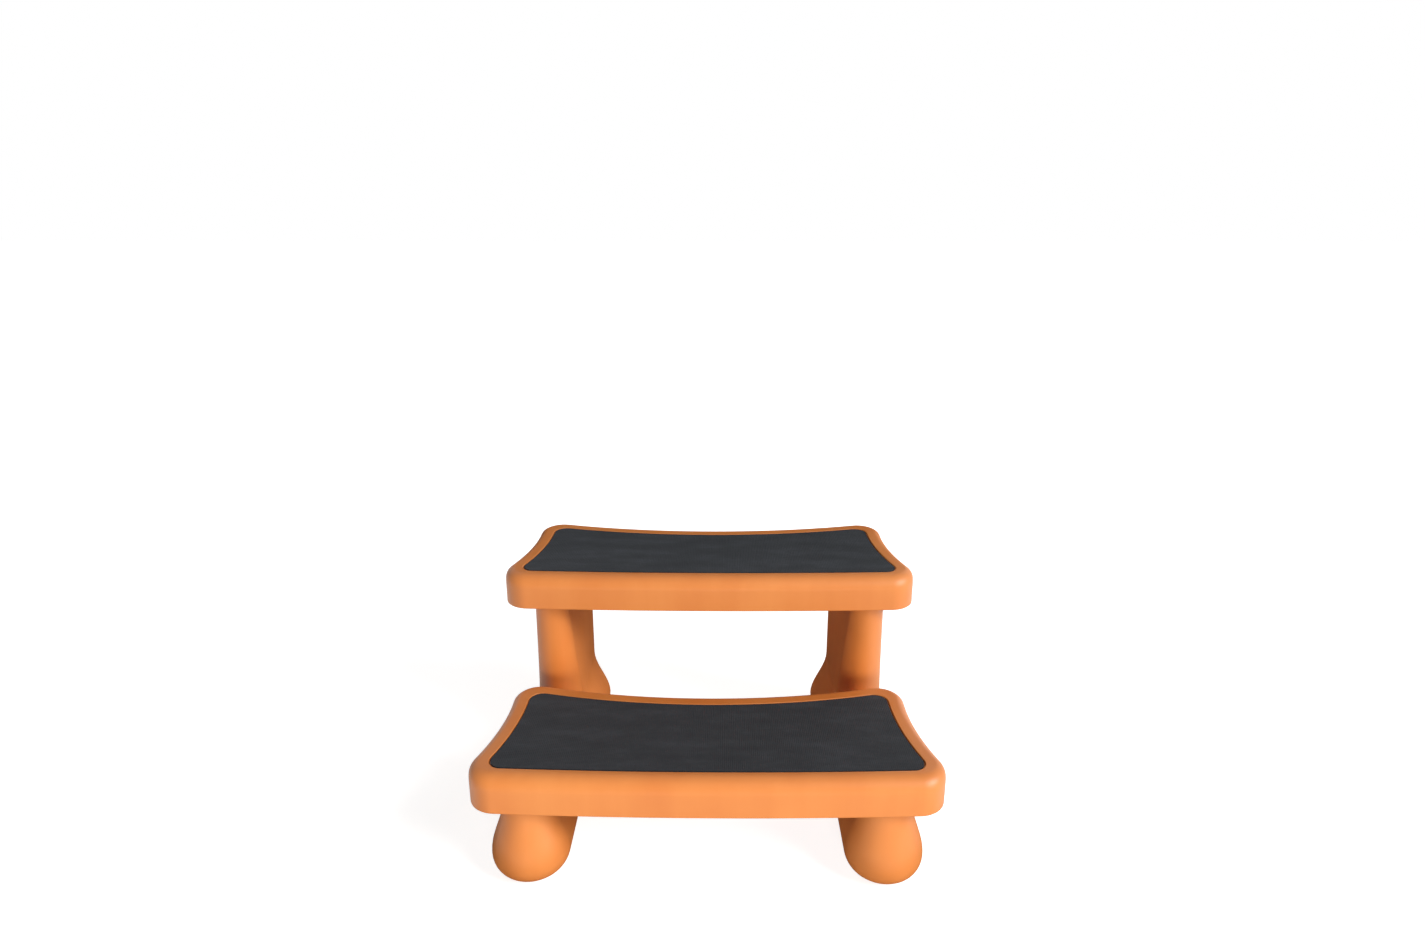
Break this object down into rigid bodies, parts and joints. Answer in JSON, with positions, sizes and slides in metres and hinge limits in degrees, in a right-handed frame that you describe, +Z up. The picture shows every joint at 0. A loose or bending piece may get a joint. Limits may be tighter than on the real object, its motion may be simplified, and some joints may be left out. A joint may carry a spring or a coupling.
{
  "type": "spa steps",
  "caption": "Free-standing moulded plastic spa steps with rubber mats let into the treads, hollow back edges and bulb-footed legs.",
  "frame": {"origin": "middle of the footprint, on the floor", "axes": "+X to the right of someone facing the steps to climb them, +Y towards the tub, +Z up"},
  "size_m": [0.7266, 0.5871, 0.389],
  "materials": {
    "orange_plastic": "satin, moulded, orange",
    "mat_rubber": "matte charcoal, finely ribbed",
    "pad_rubber": "matte black",
    "screw_steel": "plain stainless"
  },
  "bodies": {
    "root": {"lower_tread": "orange_plastic", "upper_tread": "orange_plastic", "lower_mat": "mat_rubber", "upper_mat": "mat_rubber", "left_front_leg": "orange_plastic", "right_front_leg": "orange_plastic", "left_rear_leg": "orange_plastic", "right_rear_leg": "orange_plastic", "left_front_leg_pad": "pad_rubber", "right_front_leg_pad": "pad_rubber", "left_rear_leg_pad": "pad_rubber", "right_rear_leg_pad": "pad_rubber", "left_side_rail": "orange_plastic", "right_side_rail": "orange_plastic", "left_lower_tread_screw_1": "screw_steel", "left_lower_tread_screw_2": "screw_steel", "left_upper_tread_screw_1": "screw_steel", "left_upper_tread_screw_2": "screw_steel", "right_lower_tread_screw_1": "screw_steel", "right_lower_tread_screw_2": "screw_steel", "right_upper_tread_screw_1": "screw_steel", "right_upper_tread_screw_2": "screw_steel", "left_front_rail_screw": "screw_steel", "left_rear_rail_screw": "screw_steel", "right_front_rail_screw": "screw_steel", "right_rear_rail_screw": "screw_steel"}
  },
  "joints": []
}
